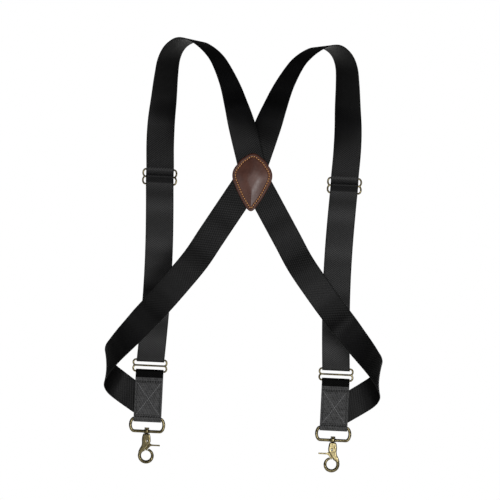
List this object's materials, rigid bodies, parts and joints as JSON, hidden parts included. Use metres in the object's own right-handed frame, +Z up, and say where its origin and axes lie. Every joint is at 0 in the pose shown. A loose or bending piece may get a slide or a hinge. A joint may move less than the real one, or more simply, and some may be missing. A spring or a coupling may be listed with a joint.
{
  "type": "side-clip suspenders",
  "caption": "Elastic X-back suspenders with a stitched leather patch, wire sliders and connectors, sewn tabs and swivelling trigger hooks.",
  "frame": {"origin": "middle of the leather patch's inner face, which lies on the wearer's back", "axes": "+Z up, +Y from the wearer's back to the front, the wearer's left is -X"},
  "size_m": [0.3816, 0.1014, 0.5868],
  "materials": {
    "elastic_webbing": "woven elastic, satin black",
    "tab_webbing": "plain woven, dark grey",
    "leather_outer": "glossy finished brown",
    "leather_backing": "matte, suede side",
    "antique_brass": "antique, darkened in the hollows",
    "pin_steel": "plain"
  },
  "bodies": {
    "harness": {"patch_outer": "leather_outer", "patch_backing": "leather_backing", "front_webbing_left": "elastic_webbing", "shoulder_webbing_left": "elastic_webbing", "back_webbing_left": "elastic_webbing", "crossing_webbing_left": "elastic_webbing", "lower_back_webbing_left": "elastic_webbing", "hip_webbing_left": "elastic_webbing", "hip_end_left": "elastic_webbing", "front_run_left": "elastic_webbing", "return_run_left": "elastic_webbing", "connector_loop_left": "elastic_webbing", "connector_frame_left": "antique_brass", "connector_strip_left": "elastic_webbing", "tab_left": "tab_webbing", "front_webbing_right": "elastic_webbing", "shoulder_webbing_right": "elastic_webbing", "back_webbing_right": "elastic_webbing", "crossing_webbing_right": "elastic_webbing", "lower_back_webbing_right": "elastic_webbing", "hip_webbing_right": "elastic_webbing", "hip_end_right": "elastic_webbing", "front_run_right": "elastic_webbing", "return_run_right": "elastic_webbing", "connector_loop_right": "elastic_webbing", "connector_frame_right": "antique_brass", "connector_strip_right": "elastic_webbing", "tab_right": "tab_webbing"},
    "slider_left": {"slider_frame_left": "antique_brass", "slider_weave_left": "elastic_webbing", "slider_loop_left": "elastic_webbing"},
    "ring_left": {"hook_ring_left": "antique_brass"},
    "hook_left": {"hook_body_left": "antique_brass", "trigger_pin_left": "pin_steel", "trigger_spring_left": "pin_steel"},
    "trigger_left": {"trigger_left": "antique_brass"},
    "slider_right": {"slider_frame_right": "antique_brass", "slider_weave_right": "elastic_webbing", "slider_loop_right": "elastic_webbing"},
    "ring_right": {"hook_ring_right": "antique_brass"},
    "hook_right": {"hook_body_right": "antique_brass", "trigger_pin_right": "pin_steel", "trigger_spring_right": "pin_steel"},
    "trigger_right": {"trigger_right": "antique_brass"}
  },
  "joints": [
    {"name": "slider_left_slide", "type": "slide", "parent": "harness", "child": "slider_left", "axis": [-0.0333, 0, 0.9994], "range_m": [-0.12, 0.025], "deforming": ["slider_weave_left", "slider_loop_left", "return_run_left"]},
    {"name": "ring_left_swing", "type": "hinge", "parent": "harness", "child": "ring_left", "pos_m": [-0.128, 0.07625, -0.331], "axis": [1, 0, 0], "range_deg": [-120, 120]},
    {"name": "hook_left_swivel", "type": "hinge", "parent": "ring_left", "child": "hook_left", "pos_m": [-0.128, 0.07625, -0.35], "axis": [0, 0, 1], "continuous": true},
    {"name": "trigger_left_pull", "type": "hinge", "parent": "hook_left", "child": "trigger_left", "pos_m": [-0.127, 0.07625, -0.3617], "axis": [0, 1, 0], "range_deg": [0, 24], "stiffness_Nm_per_rad": 0.02, "springref_deg": -20.05},
    {"name": "slider_right_slide", "type": "slide", "parent": "harness", "child": "slider_right", "axis": [0.0333, 0, 0.9994], "range_m": [-0.12, 0.025], "deforming": ["slider_weave_right", "slider_loop_right", "return_run_right"]},
    {"name": "ring_right_swing", "type": "hinge", "parent": "harness", "child": "ring_right", "pos_m": [0.128, 0.07625, -0.331], "axis": [1, 0, 0], "range_deg": [-120, 120]},
    {"name": "hook_right_swivel", "type": "hinge", "parent": "ring_right", "child": "hook_right", "pos_m": [0.128, 0.07625, -0.35], "axis": [0, 0, 1], "continuous": true},
    {"name": "trigger_right_pull", "type": "hinge", "parent": "hook_right", "child": "trigger_right", "pos_m": [0.127, 0.07625, -0.3617], "axis": [0, -1, 0], "range_deg": [0, 24], "stiffness_Nm_per_rad": 0.02, "springref_deg": -20.05}
  ]
}
